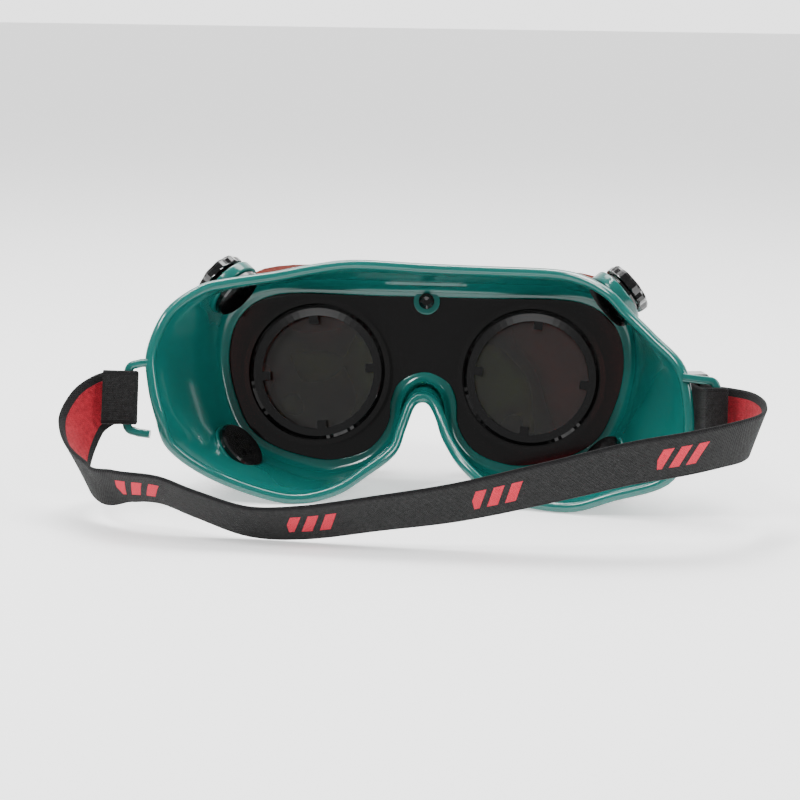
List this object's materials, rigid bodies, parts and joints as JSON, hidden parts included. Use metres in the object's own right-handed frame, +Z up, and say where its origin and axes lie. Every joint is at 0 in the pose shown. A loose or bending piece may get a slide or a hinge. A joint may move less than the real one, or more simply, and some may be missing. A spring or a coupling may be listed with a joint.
{
  "type": "welding goggles",
  "caption": "Soft-bodied welding goggles with round lens sockets, a flip-up shaded front, screw-on vent caps and an elastic head strap.",
  "frame": {"origin": "centre of the bounding box, on the surface the goggles stand on", "axes": "+X along the width towards the wearer-right side seen from behind, +Y out of the front of the goggles, +Z up"},
  "size_m": [0.2518, 0.138, 0.0842],
  "materials": {
    "body_pvc": "glossy soft PVC",
    "black_plastic": "gloss",
    "smoked_plastic": "translucent gloss",
    "clear_glass": "clear",
    "shade_glass": "dark filter",
    "gasket_rubber": "matt",
    "strap_fabric": "ribbed elastic",
    "hinge_steel": "satin"
  },
  "bodies": {
    "goggles": {"goggle_body": "body_pvc", "lens_carrier": "black_plastic", "clear_lens_left": "clear_glass", "clear_lens_right": "clear_glass", "lens_gasket_left": "gasket_rubber", "lens_gasket_right": "gasket_rubber", "hinge_pin_left": "hinge_steel", "hinge_pin_right": "hinge_steel", "centre_screw": "hinge_steel", "headband": "strap_fabric", "vent_seat_upper_right": "black_plastic", "vent_seat_upper_left": "black_plastic", "vent_seat_lower_right": "black_plastic", "vent_seat_lower_left": "black_plastic"},
    "flip_front": {"flip_frame": "smoked_plastic", "shade_lens_left": "shade_glass", "shade_lens_right": "shade_glass"},
    "retaining_left": {"retaining_ring_left": "black_plastic"},
    "shade_cap_left": {"shade_ring_left": "black_plastic"},
    "retaining_right": {"retaining_ring_right": "black_plastic"},
    "shade_cap_right": {"shade_ring_right": "black_plastic"},
    "vent_upper_right": {"vent_cap_upper_right": "black_plastic"},
    "vent_upper_left": {"vent_cap_upper_left": "black_plastic"},
    "vent_lower_right": {"vent_cap_lower_right": "black_plastic"},
    "vent_lower_left": {"vent_cap_lower_left": "black_plastic"},
    "slider": {"strap_slider": "black_plastic"}
  },
  "joints": [
    {"name": "flip_hinge", "type": "hinge", "parent": "goggles", "child": "flip_front", "pos_m": [0.00275, 0.05649, 0.07445], "axis": [1, 0, 0], "range_deg": [0, 100]},
    {"name": "retaining_twist_left", "type": "hinge", "parent": "goggles", "child": "retaining_left", "pos_m": [-0.03725, 0.04285, 0.0395], "axis": [0, 0.9789, -0.2045], "range_deg": [0, 30]},
    {"name": "shade_twist_left", "type": "hinge", "parent": "flip_front", "child": "shade_cap_left", "pos_m": [-0.03725, 0.04285, 0.0395], "axis": [0, 0.9789, -0.2045], "range_deg": [0, 40]},
    {"name": "retaining_twist_right", "type": "hinge", "parent": "goggles", "child": "retaining_right", "pos_m": [0.04275, 0.04285, 0.0395], "axis": [0, 0.9789, -0.2045], "range_deg": [0, 30]},
    {"name": "shade_twist_right", "type": "hinge", "parent": "flip_front", "child": "shade_cap_right", "pos_m": [0.04275, 0.04285, 0.0395], "axis": [0, 0.9789, -0.2045], "range_deg": [0, 40]},
    {"name": "vent_twist_upper_right", "type": "hinge", "parent": "goggles", "child": "vent_upper_right", "pos_m": [0.07365, 0.03243, 0.07273], "axis": [0.7467, 0.3013, 0.593], "range_deg": [0, 45]},
    {"name": "vent_twist_upper_left", "type": "hinge", "parent": "goggles", "child": "vent_upper_left", "pos_m": [-0.06965, 0.03251, 0.07313], "axis": [-0.742, 0.3339, 0.5814], "range_deg": [0, 45]},
    {"name": "vent_twist_lower_right", "type": "hinge", "parent": "goggles", "child": "vent_lower_right", "pos_m": [0.07145, 0.01975, 0.01204], "axis": [0.7048, 0.2256, -0.6726], "range_deg": [0, 45]},
    {"name": "vent_twist_lower_left", "type": "hinge", "parent": "goggles", "child": "vent_lower_left", "pos_m": [-0.06595, 0.01975, 0.01204], "axis": [-0.7048, 0.2256, -0.6726], "range_deg": [0, 45]},
    {"name": "strap_adjust", "type": "slide", "parent": "goggles", "child": "slider", "axis": [-0.2501, 0.9682, 0], "range_m": [-0.005, 0.005]}
  ]
}
